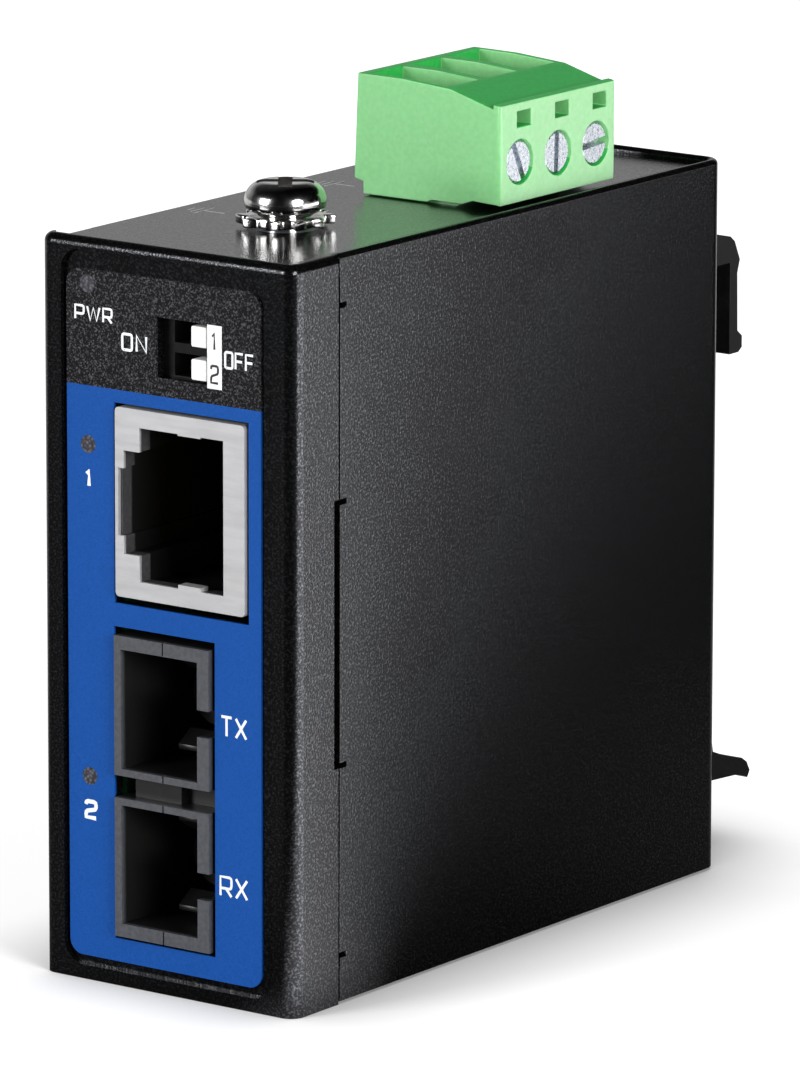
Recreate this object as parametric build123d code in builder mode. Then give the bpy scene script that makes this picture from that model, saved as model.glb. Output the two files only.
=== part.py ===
from build123d import *
import os

# Fibre media converter for a DIN rail. Millimetres, +Z up, the front faces -Y and the bare side panel +X.
# The origin is the centre of the bottom plate's underside.

os.makedirs("parts", exist_ok=True)

# Case
case_w = 24.2
case_d = 57.0
sheet = 0.8
seam_gap = 0.1
front_h = 57.95
top_plate_z = 57.5
cover_bottom = 0.2
cover_top = 58.05
front_bend = 1.2
rear_bend = 1.6
chassis_bend = 1.0
lip_bend = 1.5
edge_round = 0.7
flange_d = 5.6
left_flange_top = 57.2
seam_slit = 0.18
seam_open = 0.55
relief_d = 0.85
relief_h = 0.4
tab_reach = 4.0
tab_ranges = ((4.05, 18.5), (39.3, 53.95))

front_y = -case_d / 2
back_y = case_d / 2
half_w = case_w / 2
inner_right = half_w - sheet
inner_front = front_y + sheet
inner_back = back_y - sheet
flange_end = front_y + flange_d
lip_h = min(tab_ranges[0][0], top_plate_z - tab_ranges[-1][1]) - relief_h + 0.05

# Recessed label field
recess_x = (-9.95, 10.05)
recess_z = (1.1, 57.05)
recess_depth = 0.5
recess_round = 1.8
label_x = (-9.65, 8.8)
label_z = (1.8, 55.5)
label_t = 0.2
label_round = 1.2
recess_y = front_y + recess_depth
label_y = recess_y - label_t
panel_back = recess_y + sheet

# Circuit board, standing along the left wall
board_x = -5.15
board_t = 1.6
board_front_gap = 0.9
board_y = (inner_front + board_front_gap, inner_back - 0.7)
board_z = (1.5, top_plate_z - 1.3)
board_back = board_x - board_t
standoff_r = 2.6
standoff_h = board_back + half_w - sheet
board_screw_r = 2.5
board_screw_h = 1.6
board_screw_reach = board_t + 0.6 * standoff_h

# RJ45 jack, latch slot towards the board
jack_x = (-4.9, 7.4)
jack_z = (30.6, 45.3)
jack_front = label_y - 0.2
jack_depth = 18.0
jack_wall = 0.3
jack_gap_top = 0.25
jack_gap_bottom = 0.6
jack_gap_side = 0.25
port_x = (-2.6, 5.4)
port_z = (31.97, 43.9)
latch_x = -4.1
latch_z = (33.97, 42.0)
thumb_z = (35.35, 40.6)
thumb_wall = 0.2
lip_depth = 1.4
lip_step = 0.25
port_depth = 12.5
jack_contacts = 8
contact_pitch = 1.02

# Duplex SC receptacle and the transceiver behind it
sc_x = (-4.95, 4.1)
sc_h = 10.95
sc_pitch = 12.7
sc_tx_z = 22.1
sc_front = front_y - 0.1
sc_depth = 14.0
sc_open_x = (-4.3, 3.0)
sc_wall_outer = 1.05
sc_wall_inner = 0.55
sc_key_h = 2.1
sc_gap = 0.3
sc_gap_top = 0.6
ferrule_r = 1.25
sleeve_r = 1.75
sleeve_length = 6.0
boss_r = 2.5
boss_lip = 0.5
hook_front = 4.0
hook_half_w = 1.2
hook_z = (2.35, 3.35)
hook_t = 0.4
hook_run = 1.5
transceiver_length = 25.0
transceiver_w = 25.4
transceiver_top = 4.2
sc_centres = (sc_tx_z, sc_tx_z - sc_pitch)
sc_axis_x = sum(sc_open_x) / 2
sc_back = sc_front + sc_depth
transceiver_end = sc_back + transceiver_length

# DIP switch
dip_window_x = (-1.05, 3.75)
dip_window_z = (47.95, 52.6)
dip_centres = (51.5, 48.96)
dip_body_x = 5.1
dip_body_z = (46.9, 53.5)
dip_body_y = (panel_back + 0.1, panel_back + 5.6)
dip_travel = 2.2
slider_x = (2.15, 3.65)
slider_h = 1.6
slider_clear = 0.08

# Indicator lamps on the board's back
lamp_x = -half_w + 4.55
lamp_heights = {"led_power": 54.4, "led_copper": 42.0, "led_fibre": 16.05}
lamp_r = 0.62
lamp_hole_r = 0.75

# Pluggable terminal block
pole_pitch = 5.08
poles = 3
plug_from_back = 20.3
plug_y = back_y - plug_from_back
plug_half = 7.7
plug_x = (-3.8, 10.2)
plug_bottom = top_plate_z + 0.3
plug_foot = top_plate_z + 0.1
plug_face_top = plug_bottom + 8.0
plug_ridge_x = 5.4
plug_ridge_z = plug_bottom + 8.9
plug_rear_top = plug_bottom + 9.3
tongue_x = (-2.95, 5.45)
tongue_half = 6.9
tongue_bottom = plug_bottom - 7.5
header_wall = 1.0
header_clear = 0.25
header_floor = tongue_bottom - 0.3
header_base = header_floor - 1.5
header_top = top_plate_z - sheet - 0.3
pin_x = 1.25
pin_w = 1.0
pin_top = tongue_bottom + 5.2
screw_z = plug_bottom + 3.35
screw_head_r = 1.68
screw_hole_r = 1.76
screw_shank_r = 1.2
screw_head_x = (8.45, 10.0)
screw_tip = 3.2
shank_clear = 0.06
cage_x = (1.4, 6.6)
cage_far = 0.8
cage_near = 1.2
cage_w = 3.9
cage_h = 3.6
cage_side = 0.5
cage_travel = 2.0
tab_x = (2.4, 3.0)
tab_w = 2.4
funnel_x = (-2.6, 4.7)
funnel_w = 4.2
funnel_floor = plug_bottom + 5.8
test_hole = (1.8, 1.2)
test_hole_z = plug_bottom + 6.72
pole_ys = [plug_y + (i - (poles - 1) / 2) * pole_pitch for i in range(poles)]

# Ground screw on the top plate
ground_x = 0.35
ground_y = front_y + 14.6
ground_shank_r = 1.95
ground_bore_r = 2.0
washer_r = 3.85
washer_t = 1.3
ground_head_r = 3.15
ground_head_h = 2.3
ground_length = 8.4
nut_flats = 7.0
nut_h = 3.2

# DIN rail clip
clip_half = 8.5
clip_t = 2.5
seat_y = back_y + clip_t
slot_w = 3.65
hook_inner = seat_y + slot_w
hook_outer = back_y + 7.2
slot_top = 48.2
hook_bottom = 40.7
hook_top = 50.8
lip_bottom = 5.75
lip_top = 8.15
rail_low = 8.4
catch_top = 9.6
rail_h = 35.0
rail_t = 1.0
spring_wire_r = 0.5
spring_rest_z = rail_low + rail_h + 1.2
spring_half = 7.0
spring_slot = 1.16
clip_screws = (19.4, 33.0)
clip_screw_r = 1.45

# Small flat-head screws
cover_screws = (top_plate_z - 4.1, 2.6)
flange_screws = (12.0, 46.0)

# What stands on the board. The upper row shares out the length behind the jack, the lower row has the
# length behind the transceiver.
jack_back = jack_front + jack_depth
transformer_size = (6.0, 9.5, 12.8)
transformer_z = 36.8
lead = 1.1
chip_size = (1.5, 10.0)
chip_z = 37.0
crystal_size = (1.2, 3.2, 5.0)
inductor_size = (2.0, 7.0)
capacitor_size = (7.7, 6.6)
row_items = (2 * board_screw_r, transformer_size[1] + 2 * lead, chip_size[1] + 2 * lead)
row_gap = (inner_back - jack_back - sum(row_items)) / (len(row_items) + 1)
row_ys = [
    jack_back + (i + 1) * row_gap + sum(row_items[:i]) + row_items[i] / 2 for i in range(len(row_items))
]
rear_row_y = (transceiver_end + inner_back) / 2
board_screws = (
    (front_y + 11.5, 48.6),
    (row_ys[0], 33.5),
    (back_y - 4.9, 52.2),
    (back_y - 4.9, 5.0),
)


def span(x, y, z, mode=Mode.ADD):
    """Box between two corners, added to or cut from the part in hand."""
    with Locations((sum(x) / 2, sum(y) / 2, sum(z) / 2)):
        Box(x[1] - x[0], y[1] - y[0], z[1] - z[0], mode=mode)


def around(centre, half):
    return (centre - half, centre + half)


def rod(start, axis, radius, length, mode=Mode.ADD):
    """Cylinder from a start point along an axis."""
    with Locations(Plane(origin=start, z_dir=axis)):
        Cylinder(radius, length, align=(Align.CENTER, Align.CENTER, Align.MIN), mode=mode)


def facing_front(y):
    """Plane that faces -Y: local x is X and local y is Z."""
    return Plane(origin=(0, y, 0), x_dir=(1, 0, 0), z_dir=(0, -1, 0))


def write(builder, name):
    builder.part.label = name
    export_step(builder.part, "parts/" + name + ".step")


# Front cover: a face with a short flange on each side and a drawn label field
with BuildPart() as front_cover:
    with BuildSketch():
        RectangleRounded(case_w, case_d, front_bend)
        RectangleRounded(case_w - 2 * sheet, case_d - 2 * sheet, front_bend - sheet, mode=Mode.SUBTRACT)
    extrude(amount=front_h)
    span((-case_w, case_w), (flange_end, case_d), (-1, front_h + 1), Mode.SUBTRACT)
    top_edges = front_cover.faces().sort_by(Axis.Z)[-1].edges()
    outer_round = [e for e in top_edges if e.center().Y < front_y + front_bend / 2]
    outer_round = [e for e in outer_round if abs(e.center().X) > half_w - front_bend / 2 or e.center().Y < front_y + 0.01]
    fillet(outer_round, edge_round)
    with BuildSketch(facing_front(panel_back)):
        with Locations((sum(recess_x) / 2, sum(recess_z) / 2)):
            RectangleRounded(recess_x[1] - recess_x[0], recess_z[1] - recess_z[0], recess_round)
    extrude(amount=recess_depth)
    with BuildSketch(facing_front(recess_y)):
        with Locations((sum(recess_x) / 2, sum(recess_z) / 2)):
            RectangleRounded(recess_x[1] - recess_x[0], recess_z[1] - recess_z[0], recess_round)
    extrude(amount=recess_depth + 1, mode=Mode.SUBTRACT)
    window_y = (front_y - 1, panel_back + 1)
    jack_cut_x = (jack_x[0] - jack_gap_side, jack_x[1] + jack_gap_side)
    jack_cut_z = (jack_z[0] - jack_gap_bottom, jack_z[1] + jack_gap_top)
    sc_cut_x = (sc_x[0] - sc_gap, sc_x[1] + sc_gap)
    sc_cut_z = (sc_centres[1] - sc_h / 2 - sc_gap, sc_centres[0] + sc_h / 2 + sc_gap_top)
    span(jack_cut_x, window_y, jack_cut_z, Mode.SUBTRACT)
    span(sc_cut_x, window_y, sc_cut_z, Mode.SUBTRACT)
    span(dip_window_x, window_y, dip_window_z, Mode.SUBTRACT)
    for lamp_z in lamp_heights.values():
        rod((lamp_x, front_y - 1, lamp_z), (0, 1, 0), lamp_hole_r, sheet + recess_depth + 2, Mode.SUBTRACT)
    # The right flange steps back between the two tabs, and the left one stops below the top bend
    step_z = (tab_ranges[0][1], tab_ranges[1][0])
    span((0, case_w), (flange_end - seam_open, case_d), step_z, Mode.SUBTRACT)
    span((-case_w, -half_w + front_bend), (front_y + front_bend, case_d), (left_flange_top, front_h + 1), Mode.SUBTRACT)
    for z in flange_screws:
        rod((-case_w, flange_end - 2.7, z), (1, 0, 0), 1.05, case_w, Mode.SUBTRACT)
        with Locations(Plane(origin=(-half_w, flange_end - 2.7, z), z_dir=(1, 0, 0))):
            Cone(1.95, 1.05, sheet, align=(Align.CENTER, Align.CENTER, Align.MIN), mode=Mode.SUBTRACT)
write(front_cover, "front_cover")

# Overlay with openings for the ports and the switch
with BuildPart() as front_label:
    with BuildSketch(facing_front(recess_y)):
        with Locations((sum(label_x) / 2, sum(label_z) / 2)):
            RectangleRounded(label_x[1] - label_x[0], label_z[1] - label_z[0], label_round)
        for cut_x, cut_z in ((jack_cut_x, jack_cut_z), (sc_cut_x, sc_cut_z), (dip_window_x, dip_window_z)):
            with Locations((sum(cut_x) / 2, sum(cut_z) / 2)):
                Rectangle(cut_x[1] - cut_x[0], cut_z[1] - cut_z[0], mode=Mode.SUBTRACT)
    extrude(amount=label_t)
write(front_label, "front_label")

# Chassis: left wall, top and bottom plates, with a turned lip along the right edges
chassis_front = panel_back + seam_gap
chassis_back = inner_back - seam_gap
lip_x = inner_right - seam_gap
corner_r = rear_bend - sheet + 0.2
wall_front = flange_end + seam_gap
with BuildPart() as chassis:
    with BuildSketch(facing_front(chassis_front)):
        with BuildLine() as c_line:
            Polyline(
                (lip_x, top_plate_z - lip_h),
                (lip_x, top_plate_z),
                (-half_w, top_plate_z),
                (-half_w, 0),
                (lip_x, 0),
                (lip_x, lip_h),
            )
            fillet([v for v in c_line.vertices() if v.X < 0], chassis_bend)
            fillet([v for v in c_line.vertices() if v.X > 0 and (v.Z in (0, top_plate_z) or v.Y in (0, top_plate_z))],
                   lip_bend)
            offset(amount=sheet, side=Side.LEFT)
        make_face()
    extrude(amount=-(chassis_back - chassis_front))
    # Rounded to follow the rear bend of the cover
    with BuildSketch(Plane.XY.offset(-1)):
        with Locations((lip_x - corner_r, chassis_back - corner_r)):
            Rectangle(2 * corner_r, 2 * corner_r, align=(Align.MIN, Align.MIN))
            Circle(corner_r, mode=Mode.SUBTRACT)
    extrude(amount=front_h + 2, mode=Mode.SUBTRACT)
    # The left wall starts behind the front flange, with two tabs stepped in behind it
    span((-case_w, -half_w + sheet + seam_gap), (-case_d, wall_front), (-1, front_h), Mode.SUBTRACT)
    tab_in = (-half_w + sheet + seam_gap, -half_w + 2 * sheet + seam_gap)
    for tab_z in tab_ranges:
        span(tab_in, (wall_front - tab_reach, wall_front + 1.2), tab_z)
        span((-half_w + sheet / 2, tab_in[1]), (wall_front + 0.4, wall_front + 1.2), tab_z)
    for z in flange_screws:
        rod((-case_w, flange_end - 2.7, z), (1, 0, 0), 0.97, case_w, Mode.SUBTRACT)
    # Opening over the terminal header, and the ground screw's hole
    span(
        (tongue_x[0] - header_clear, tongue_x[1] + header_clear),
        (plug_y - tongue_half - header_clear, plug_y + tongue_half + header_clear),
        (top_plate_z - 2, top_plate_z + 1),
        Mode.SUBTRACT,
    )
    rod((ground_x, ground_y, top_plate_z + 1), (0, 0, -1), 2.6, 3, Mode.SUBTRACT)
    # Tabs that take the screws of the rear cover
    rear_tab_y = (chassis_back - sheet, chassis_back)
    span((-4.0, 4.0), rear_tab_y, (top_plate_z - 7.5, top_plate_z - sheet / 2))
    span((-4.0, 4.0), rear_tab_y, (sheet / 2, 5.4))
    for z in cover_screws:
        rod((0, case_d, z), (0, -1, 0), 1.22, case_d, Mode.SUBTRACT)
    for y, z in board_screws:
        rod((-case_w, y, z), (1, 0, 0), 1.7, case_w / 2 + 2, Mode.SUBTRACT)
write(chassis, "chassis")

# Rear cover: right side and back in one bent sheet, with two tabs stepped in under the front flange
cover_front = flange_end + seam_slit
with BuildPart() as side_cover:
    with BuildSketch(Plane.XY.offset(cover_bottom)):
        with BuildLine() as l_line:
            Polyline((half_w, cover_front), (half_w, back_y), (-half_w, back_y))
            fillet([v for v in l_line.vertices() if v.X > 0 and v.Y > 0], rear_bend)
            offset(amount=sheet, side=Side.LEFT)
        make_face()
    extrude(amount=cover_top - cover_bottom)
    for tab_z in tab_ranges:
        tab_low = cover_front + relief_d
        with BuildSketch(Plane.XY.offset(tab_z[0])):
            with BuildLine():
                Polyline(
                    (half_w, tab_low),
                    (half_w, cover_front + 0.35),
                    (inner_right - seam_gap, cover_front - 0.1),
                    (inner_right - seam_gap, flange_end - tab_reach),
                    (inner_right - seam_gap - sheet, flange_end - tab_reach),
                    (inner_right - seam_gap - sheet, cover_front + 0.15),
                    (inner_right, cover_front + 0.75),
                    (inner_right, tab_low),
                    close=True,
                )
            make_face()
        extrude(amount=tab_z[1] - tab_z[0])
        for edge_z in tab_z:
            cut_z = (edge_z - relief_h, edge_z) if edge_z == tab_z[0] else (edge_z, edge_z + relief_h)
            span((0, case_w), (front_y, tab_low), cut_z, Mode.SUBTRACT)
        span((inner_right - seam_gap, case_w), (front_y, cover_front - 0.1), tab_z, Mode.SUBTRACT)
    for z in cover_screws:
        rod((0, case_d, z), (0, -1, 0), 1.35, case_d, Mode.SUBTRACT)
        with Locations(Plane(origin=(0, back_y, z), z_dir=(0, -1, 0))):
            Cone(2.15, 1.35, sheet, align=(Align.CENTER, Align.CENTER, Align.MIN), mode=Mode.SUBTRACT)
    for z in clip_screws:
        rod((0, case_d, z), (0, -1, 0), 2.1, case_d, Mode.SUBTRACT)
write(side_cover, "side_cover")


def flat_screw(name, place, head_r, head_h, shank_r, length, cross):
    """Countersunk screw with a cross recess. The plane's z axis points out of the head."""
    with BuildPart(place) as screw:
        top = (Align.CENTER, Align.CENTER, Align.MAX)
        Cone(shank_r, head_r, head_h, align=top)
        with Locations((0, 0, -head_h)):
            Cylinder(shank_r, length - head_h, align=top)
        Box(cross, cross / 4, head_h * 0.8, align=top, mode=Mode.SUBTRACT)
        Box(cross / 4, cross, head_h * 0.8, align=top, mode=Mode.SUBTRACT)
    write(screw, name)


for i, z in enumerate(cover_screws, 1):
    flat_screw(f"cover_screw_{i}", Plane(origin=(0, back_y, z), z_dir=(0, 1, 0)), 2.1, sheet, 1.17, 4.0, 2.2)
for i, z in enumerate(flange_screws, 1):
    flat_screw(f"flange_screw_{i}", Plane(origin=(-half_w, flange_end - 2.7, z), z_dir=(-1, 0, 0)),
               1.9, sheet, 0.92, 3.0, 2.0)

# Main board with its mounting holes
with BuildPart() as main_board:
    span((board_back, board_x), board_y, board_z)
    for y, z in board_screws:
        rod((-case_w, y, z), (1, 0, 0), 1.6, case_w, Mode.SUBTRACT)
    for y in pole_ys:
        rod((-case_w, y, header_base - 2.2), (1, 0, 0), 0.8, case_w, Mode.SUBTRACT)
    fillet(main_board.edges().filter_by(Axis.X).group_by(Axis.Z)[0], 1.0)
write(main_board, "main_board")

for i, (y, z) in enumerate(board_screws, 1):
    with BuildPart(Plane(origin=(-half_w + sheet, y, z), z_dir=(1, 0, 0))) as standoff:
        low = (Align.CENTER, Align.CENTER, Align.MIN)
        Cylinder(standoff_r, standoff_h, align=low)
        with Locations((0, 0, -sheet)):
            Cylinder(1.65, sheet, align=low)
        Cylinder(1.3, standoff_h, align=low, mode=Mode.SUBTRACT)
    write(standoff, f"standoff_{i}")
    with BuildPart(Plane(origin=(board_x, y, z), z_dir=(1, 0, 0))) as board_screw:
        Cylinder(board_screw_r, board_screw_h, align=low)
        fillet(board_screw.faces().sort_by(Axis.X)[-1].edges(), 0.4)
        Cylinder(1.25, board_screw_reach, align=(Align.CENTER, Align.CENTER, Align.MAX))
        with Locations((0, 0, 0.6)):
            Box(2.6, 0.6, 2.0, align=low, mode=Mode.SUBTRACT)
            Box(0.6, 2.6, 2.0, align=low, mode=Mode.SUBTRACT)
    write(board_screw, f"board_screw_{i}")

# RJ45 jack: a folded metal shield round a moulded insert
def port_outline(grow, thumb_x):
    """Closed outline of the socket mouth with its latch steps, made larger by grow."""
    return (
        (port_x[1] + grow, port_z[0] - grow),
        (port_x[1] + grow, port_z[1] + grow),
        (port_x[0] - grow, port_z[1] + grow),
        (port_x[0] - grow, latch_z[1] + grow),
        (latch_x - grow, latch_z[1] + grow),
        (latch_x - grow, thumb_z[1] + grow),
        (thumb_x, thumb_z[1] + grow),
        (thumb_x, thumb_z[0] - grow),
        (latch_x - grow, thumb_z[0] - grow),
        (latch_x - grow, latch_z[0] - grow),
        (port_x[0] - grow, latch_z[0] - grow),
        (port_x[0] - grow, port_z[0] - grow),
    )


with BuildPart() as rj45_shield:
    span(jack_x, (jack_front, jack_back), jack_z)
    inner_x = (jack_x[0] + jack_wall, jack_x[1] - jack_wall)
    inner_z = (jack_z[0] + jack_wall, jack_z[1] - jack_wall)
    span(inner_x, (jack_front + jack_wall, jack_back - jack_wall), inner_z, Mode.SUBTRACT)
    fillet(rj45_shield.edges().filter_by(Axis.Y).filter_by(lambda e: e.length > jack_depth - 0.1), 0.35)
    with BuildSketch(facing_front(jack_front + jack_wall)):
        with BuildLine():
            Polyline(*port_outline(0, inner_x[0]), close=True)
        make_face()
    extrude(amount=jack_wall + 1, mode=Mode.SUBTRACT)
    # Small tongues of the sheet at the mouth's upper and lower edges
    tongue_mid = sum(port_x) / 2 + 0.75
    span(around(tongue_mid, 1.05), (jack_front, jack_front + jack_wall), (port_z[1] - 0.12, port_z[1] + 0.1))
    span(around(tongue_mid, 1.05), (jack_front, jack_front + 1.0), (port_z[0] - 0.1, port_z[0] + 0.3))
    # Tails into the board
    for z in (jack_z[0] + 0.15, jack_z[1] - 0.15):
        span((board_x + 0.01, jack_x[0] + 0.4), (jack_front + 9.0, jack_front + 10.2), around(z, 0.15))
write(rj45_shield, "rj45_shield")

with BuildPart() as rj45_insert:
    span(
        (inner_x[0], inner_x[1]),
        (jack_front + jack_wall, jack_back - jack_wall),
        inner_z,
    )
    with BuildSketch(facing_front(jack_front + port_depth)):
        with BuildLine():
            Polyline(*port_outline(0.02, inner_x[0] + thumb_wall), close=True)
        make_face()
    extrude(amount=port_depth + 1, mode=Mode.SUBTRACT)
    # Behind its lip the socket is a little wider
    span(
        (port_x[0] - lip_step, port_x[1]),
        (jack_front + lip_depth, jack_front + port_depth),
        (port_z[0] - lip_step, port_z[1] + lip_step),
        Mode.SUBTRACT,
    )
    # Room for the contact wires along the right wall of the socket
    span(
        (port_x[1] - 0.1, port_x[1] + 1.2),
        (jack_front + lip_depth, jack_front + port_depth),
        around(sum(port_z) / 2, jack_contacts * contact_pitch / 2 + 0.2),
        Mode.SUBTRACT,
    )
    span(around(tongue_mid, 1.15), (jack_front + jack_wall, jack_front + 1.1), (port_z[0] - 0.2, port_z[0] + 0.1),
         Mode.SUBTRACT)
write(rj45_insert, "rj45_insert")

with BuildPart() as rj45_contacts:
    for i in range(jack_contacts):
        z = sum(port_z) / 2 + (i - (jack_contacts - 1) / 2) * contact_pitch
        with BuildSketch(Plane.XY.offset(z - 0.2)):
            with BuildLine():
                Polyline(
                    (port_x[1] + 1.15, jack_front + 3.6),
                    (port_x[1] + 1.15, jack_front + 4.4),
                    (port_x[1] - 1.4, jack_front + port_depth - 1.6),
                    (port_x[1] - 1.8, jack_front + port_depth - 1.9),
                    (port_x[1] + 0.55, jack_front + 3.6),
                    close=True,
                )
            make_face()
        extrude(amount=0.4)
write(rj45_contacts, "rj45_contacts")

# Duplex SC receptacle
with BuildPart() as sc_receptacle:
    body_z = (sc_centres[1] - sc_h / 2, sc_centres[0] + sc_h / 2)
    for z in sc_centres:
        span(sc_x, (sc_front, sc_back), around(z, sc_h / 2))
    # The web between the two ports stands back in two steps
    span((sc_x[0] + 0.8, sc_x[1] - 0.3), (sc_front + 2.0, sc_back), (body_z[0] + 1, body_z[1] - 1))
    span((sc_x[0] + 1.2, sc_axis_x + 1.3), (sc_front + 1.1, sc_back), (body_z[0] + 1, body_z[1] - 1))
    for z in sc_centres:
        low_wall, high_wall = (
            (sc_wall_inner, sc_wall_outer) if z == sc_centres[0] else (sc_wall_outer, sc_wall_inner)
        )
        span(sc_open_x, (sc_front - 1, sc_back - 1.2), (z - sc_h / 2 + low_wall, z + sc_h / 2 - high_wall),
             Mode.SUBTRACT)
        span((sc_open_x[1] - 0.5, sc_x[1] + 1), (sc_front - 1, sc_front + 6.5), around(z - 0.3, sc_key_h / 2),
             Mode.SUBTRACT)
        for wall_z in (z + sc_h / 2, z - sc_h / 2):
            span(around(sc_axis_x + 0.35, 0.08), (sc_front - 1, sc_front + 0.35), around(wall_z, 1.0), Mode.SUBTRACT)
        # Boss that holds the ferrule sleeve
        rod((sc_axis_x, sc_back - 1.0, z), (0, -1, 0), boss_r, sleeve_length - 1.0 + boss_lip)
        rod((sc_axis_x, sc_back + 1, z), (0, -1, 0), sleeve_r, sleeve_length + 1, Mode.SUBTRACT)
        rod((sc_axis_x, sc_back + 1, z), (0, -1, 0), ferrule_r + 0.1, sc_depth - hook_front, Mode.SUBTRACT)
        # Two latch hooks, above and below the boss, with a ramp at the tip
        for side in (-1, 1):
            with BuildSketch(Plane.YZ.offset(sc_axis_x - hook_half_w)):
                with BuildLine():
                    Polyline(
                        (sc_back - 1.0, z + side * (hook_z[1] + 0.65)),
                        (sc_back - 1.0, z + side * hook_z[1]),
                        (sc_front + hook_front + hook_run, z + side * (hook_z[1] - 0.3)),
                        (sc_front + hook_front + hook_run, z + side * hook_z[0]),
                        (sc_front + hook_front, z + side * hook_z[1]),
                        (sc_front + hook_front, z + side * (hook_z[1] + hook_t)),
                        (sc_front + hook_front + hook_run, z + side * (hook_z[1] + hook_t + 0.1)),
                        close=True,
                    )
                make_face()
            extrude(amount=2 * hook_half_w)
write(sc_receptacle, "sc_receptacle")

for z, name in zip(sc_centres, ("ferrule_sleeve_tx", "ferrule_sleeve_rx")):
    with BuildPart(Plane(origin=(sc_axis_x, sc_back, z), z_dir=(0, -1, 0))) as sleeve:
        low = (Align.CENTER, Align.CENTER, Align.MIN)
        Cylinder(sleeve_r, sleeve_length, align=low)
        Cylinder(ferrule_r, sleeve_length, align=low, mode=Mode.SUBTRACT)
        chamfer(sleeve.edges().filter_by(GeomType.CIRCLE).group_by(Axis.Y)[0].sort_by(SortBy.LENGTH)[-1], 0.2)
    write(sleeve, name)

transceiver_mid = sum(sc_centres) / 2
with BuildPart() as transceiver_body:
    span((board_x + 0.4, transceiver_top), (sc_back, transceiver_end), around(transceiver_mid, transceiver_w / 2))
    fillet(transceiver_body.edges().filter_by(Axis.Y), 0.5)
    span((board_x, board_x + 0.6), around(transceiver_end - 2.0, 1.0), around(transceiver_mid, 11.0))
    span((board_x, board_x + 0.6), around(sc_back + 2.0, 1.0), around(transceiver_mid, 11.0))
write(transceiver_body, "transceiver_body")

with BuildPart() as transceiver_pins:
    for i in range(9):
        z = transceiver_mid + (i - 4) * 2.54
        rod((board_x + 0.4, transceiver_end - 4.4, z), (-1, 0, 0), 0.23, 0.38)
write(transceiver_pins, "transceiver_pins")

# DIP switch
with BuildPart() as dip_switch_body:
    span((board_x, dip_body_x), dip_body_y, dip_body_z)
    for z in dip_centres:
        slot_x = (slider_x[0] - dip_travel - slider_clear, slider_x[1] + slider_clear)
        span(slot_x, (dip_body_y[0] - 1, dip_body_y[0] + 2.4), around(z, slider_h / 2 + slider_clear), Mode.SUBTRACT)
write(dip_switch_body, "dip_switch_body")
for i, z in enumerate(dip_centres, 1):
    with BuildPart() as slider:
        span(slider_x, (recess_y - 0.1, dip_body_y[0] + 2.4 - slider_clear), around(z, slider_h / 2))
        fillet(slider.edges().filter_by(Axis.Y), 0.15)
        fillet(slider.faces().sort_by(Axis.Y)[0].edges(), 0.1)
    write(slider, f"dip_slider_{i}")

# Indicator lamps
for name, z in lamp_heights.items():
    with BuildPart() as lamp:
        span((lamp_x - 0.95, board_back), (board_y[0] + 0.1, board_y[0] + 2.6), around(z, 0.95))
        rod((lamp_x, board_y[0] + 0.2, z), (0, -1, 0), lamp_r, board_y[0] + 0.2 - recess_y - 0.05)
    write(lamp, name)

# Parts on the board
with BuildPart() as lan_transformer:
    span((board_x + 0.3, board_x + transformer_size[0]), around(row_ys[1], transformer_size[1] / 2),
         around(transformer_z, transformer_size[2] / 2))
    fillet(lan_transformer.edges().filter_by(Axis.X), 0.4)
    for i in range(8):
        z = transformer_z + (i - 3.5) * 1.4
        for side in (-1, 1):
            lead_y = row_ys[1] + side * (transformer_size[1] / 2 + lead / 2 - 0.05)
            span((board_x, board_x + 0.6), around(lead_y, lead / 2 + 0.05), around(z, 0.22))
write(lan_transformer, "lan_transformer")

chip_y = row_ys[2]
chip_half = chip_size[1] / 2
with BuildPart() as converter_chip:
    span((board_x + 0.1, board_x + chip_size[0]), around(chip_y, chip_half), around(chip_z, chip_half))
    chamfer(converter_chip.faces().sort_by(Axis.X)[-1].edges(), 0.25)
    for i in range(16):
        run = (i - 7.5) * 0.6
        for side in (-1, 1):
            reach = side * (chip_half + lead / 2 - 0.05)
            span((board_x, board_x + 0.5), around(chip_y + reach, lead / 2 + 0.05), around(chip_z + run, 0.12))
            span((board_x, board_x + 0.5), around(chip_y + run, 0.12), around(chip_z + reach, lead / 2 + 0.05))
write(converter_chip, "converter_chip")

with BuildPart() as crystal:
    crystal_z = chip_z + chip_half + lead + 0.5 + crystal_size[1] / 2
    span((board_x, board_x + crystal_size[0]), around(chip_y, crystal_size[2] / 2),
         around(crystal_z, crystal_size[1] / 2))
    fillet(crystal.edges().filter_by(Axis.X), 0.4)
    fillet(crystal.faces().sort_by(Axis.X)[-1].edges(), 0.15)
write(crystal, "crystal")

with BuildPart() as power_inductor:
    with BuildSketch(Plane.YZ.offset(board_x)):
        with Locations((rear_row_y, clip_screws[0])):
            RectangleRounded(inductor_size[1], inductor_size[1], 1.6)
    extrude(amount=inductor_size[0])
    fillet(power_inductor.faces().sort_by(Axis.X)[-1].edges(), 0.3)
write(power_inductor, "power_inductor")

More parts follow.
